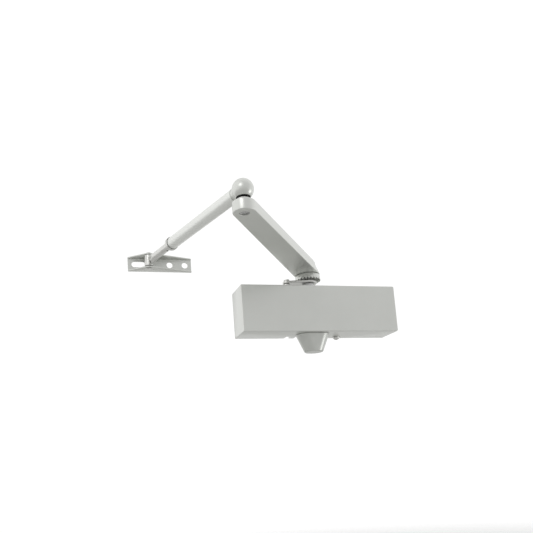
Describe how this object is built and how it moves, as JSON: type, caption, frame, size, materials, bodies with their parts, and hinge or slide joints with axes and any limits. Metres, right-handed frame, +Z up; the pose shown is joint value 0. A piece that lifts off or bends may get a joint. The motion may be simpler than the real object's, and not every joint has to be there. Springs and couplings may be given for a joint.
{
  "type": "door closer",
  "caption": "Surface-mounted rack-and-pinion door closer: box cover, tapered spindle cap, serrated hub, flat main arm, ball elbow, adjustable tube forearm and slotted shoe.",
  "frame": {"origin": "middle of the mounting plate's back face, which lies on the door", "axes": "+X along the door towards the spring end, +Y into the door, +Z up along the spindle"},
  "size_m": [0.3568, 0.2484, 0.1443],
  "materials": {
    "silver_paint": "satin metallic silver paint",
    "silver_plastic": "silver-grey moulded plastic",
    "cast_aluminium": "as-cast, machined faces",
    "zinc_steel": "bright zinc plating",
    "machined_steel": "ground and oiled",
    "spring_steel": "dark oiled wire",
    "black_rubber": "matt",
    "white_polymer": "natural polymer"
  },
  "bodies": {
    "closer": {"cover": "silver_paint", "mounting_plate": "zinc_steel", "plate_screw_1": "zinc_steel", "plate_screw_2": "zinc_steel", "plate_screw_3": "zinc_steel", "plate_screw_4": "zinc_steel", "closer_body": "cast_aluminium", "damping_end_plug": "zinc_steel", "damping_end_plug_o_ring": "black_rubber", "spring_end_plug": "zinc_steel", "spring_end_plug_o_ring": "black_rubber", "cover_screw": "zinc_steel", "closing_spring": "spring_steel", "pinion_cap": "silver_plastic", "upper_bearing": "machined_steel", "upper_bearing_nut": "zinc_steel", "upper_shaft_seal": "black_rubber", "lower_bearing": "machined_steel", "lower_bearing_nut": "zinc_steel", "lower_shaft_seal": "black_rubber"},
    "spindle": {"pinion": "machined_steel", "arm_hub": "silver_paint", "main_arm": "silver_paint", "arm_washer": "zinc_steel", "arm_screw": "zinc_steel", "elbow_stud": "machined_steel"},
    "piston": {"piston": "machined_steel", "piston_ring": "white_polymer", "check_valve_screw": "zinc_steel", "check_valve_ball": "machined_steel"},
    "power_screw": {"power_screw": "machined_steel"},
    "spring_seat": {"spring_seat": "zinc_steel"},
    "closing_valve": {"closing_speed_valve": "machined_steel"},
    "latching_valve": {"latching_speed_valve": "machined_steel"},
    "hold_open": {"hold_open_plate": "zinc_steel"},
    "knob": {"hold_open_knob": "zinc_steel"},
    "elbow_turn": {"elbow_washer": "zinc_steel"},
    "forearm": {"elbow_socket": "silver_paint", "elbow_cup": "white_polymer", "elbow_seal_ring": "black_rubber", "forearm_tube": "silver_paint", "tube_collar": "zinc_steel"},
    "knuckle": {"forearm_rod": "machined_steel", "knuckle": "zinc_steel"},
    "shoe": {"shoe": "silver_paint", "shoe_pin": "zinc_steel"}
  },
  "joints": [
    {"name": "arm_swing", "type": "hinge", "parent": "closer", "child": "spindle", "pos_m": [-0.007, -0.0219, 0], "axis": [0, 0, 1], "range_deg": [-45, 115]},
    {"name": "piston_slide", "type": "slide", "parent": "closer", "child": "piston", "axis": [1, 0, 0], "range_m": [-0.0059, 0.0151], "deforming": ["closing_spring"]},
    {"name": "power_screw_turn", "type": "hinge", "parent": "closer", "child": "power_screw", "pos_m": [0.08, -0.0219, 0], "axis": [1, 0, 0], "range_deg": [-720, 0]},
    {"name": "spring_preload", "type": "slide", "parent": "closer", "child": "spring_seat", "axis": [-1, 0, 0], "range_m": [0, 0.0025]},
    {"name": "closing_speed_turn", "type": "hinge", "parent": "closer", "child": "closing_valve", "pos_m": [-0.023, -0.008, -0.028], "axis": [0, 0, 1], "range_deg": [-180, 180]},
    {"name": "latching_speed_turn", "type": "hinge", "parent": "closer", "child": "latching_valve", "pos_m": [-0.037, -0.008, -0.028], "axis": [0, 0, 1], "range_deg": [-180, 180]},
    {"name": "hold_open_swing", "type": "hinge", "parent": "spindle", "child": "hold_open", "pos_m": [-0.007, -0.0219, 0.041], "axis": [0, 0, 1], "range_deg": [-30, 30]},
    {"name": "knob_turn", "type": "hinge", "parent": "hold_open", "child": "knob", "pos_m": [-0.038, -0.0219, 0.041], "axis": [0, 0, 1], "range_deg": [-180, 180]},
    {"name": "elbow_swing", "type": "hinge", "parent": "spindle", "child": "elbow_turn", "pos_m": [-0.1521, -0.21307, 0.0776], "axis": [0, 0, 1], "range_deg": [-29, 110]},
    {"name": "elbow_tilt", "type": "hinge", "parent": "elbow_turn", "child": "forearm", "pos_m": [-0.1521, -0.21307, 0.0776], "axis": [-0.9553, -0.2957, 0], "range_deg": [-5, 5]},
    {"name": "forearm_length", "type": "slide", "parent": "forearm", "child": "knuckle", "axis": [-0.2957, 0.9553, 0], "range_m": [0, 0.025]},
    {"name": "shoe_swing", "type": "hinge", "parent": "knuckle", "child": "shoe", "pos_m": [-0.22021, 0.00693, 0.0776], "axis": [0, 0, 1], "range_deg": [-65, 95]}
  ],
  "couplings": [
    {"joint": "piston_slide", "follows": "arm_swing", "m_per_rad": 0.0075},
    {"joint": "power_screw_turn", "follows": "spring_preload", "rad_per_m": -5000}
  ]
}
